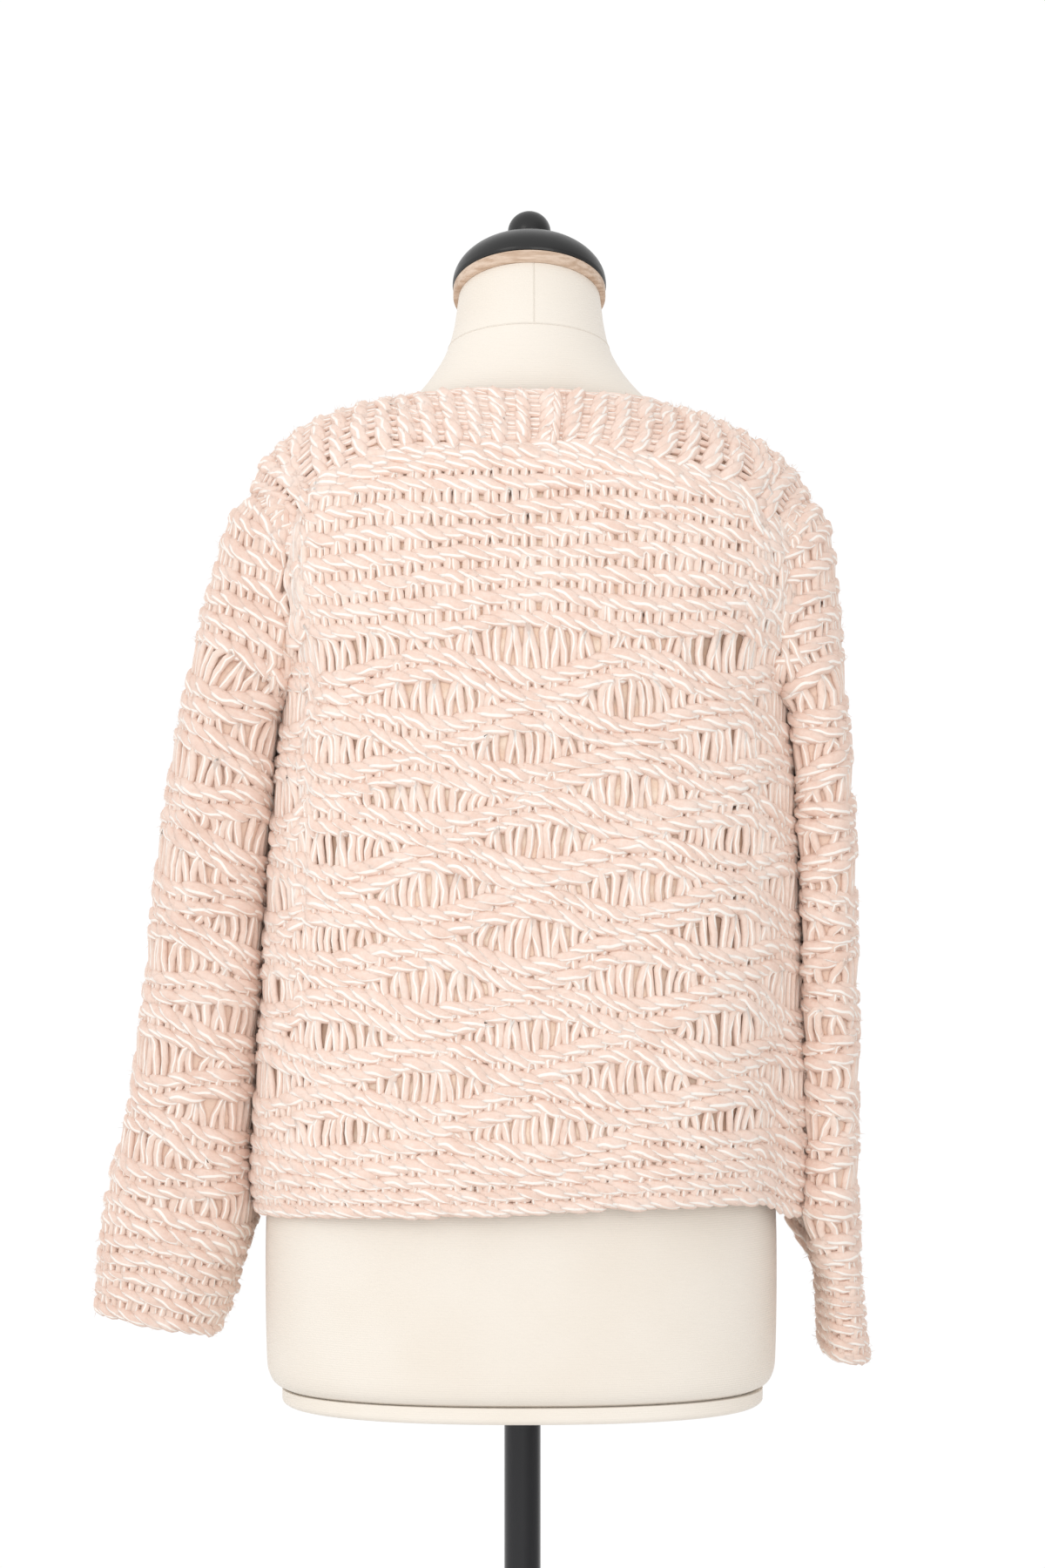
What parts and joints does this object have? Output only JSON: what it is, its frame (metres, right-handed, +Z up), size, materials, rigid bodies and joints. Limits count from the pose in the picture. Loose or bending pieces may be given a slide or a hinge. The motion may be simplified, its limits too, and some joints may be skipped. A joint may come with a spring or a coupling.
{
  "type": "knit sweater on a dress form",
  "caption": "Chunky hand-knit pullover with dropped-stitch waves and open neck, hem and cuffs, worn by a limbless dress form on a pole stand.",
  "frame": {"origin": "middle of the underside of the stand's round foot, on the pole's axis", "axes": "+Z up along the pole, +Y the way the garment's front faces, +X to the right when seen from behind"},
  "size_m": [0.5621, 0.33, 1.5674],
  "materials": {
    "yarn": "fuzzy pale peach wool plied with a thin shiny white thread",
    "ivory_cover": "smooth matt ivory jersey",
    "pale_wood": "bare pale wood",
    "black_lacquer": "black satin lacquer",
    "black_gloss": "glossy black enamel",
    "black_foot": "black satin enamel"
  },
  "bodies": {
    "root": {"back_panel": "yarn", "front_panel": "yarn", "band_back": "yarn", "band_front": "yarn", "sleeve_left": "yarn", "sleeve_right": "yarn", "form_torso": "ivory_cover", "form_bottom_board": "ivory_cover", "neck_wood_ring": "pale_wood", "neck_cap": "black_lacquer", "stand_pole": "black_gloss", "stand_foot": "black_foot"}
  },
  "joints": []
}
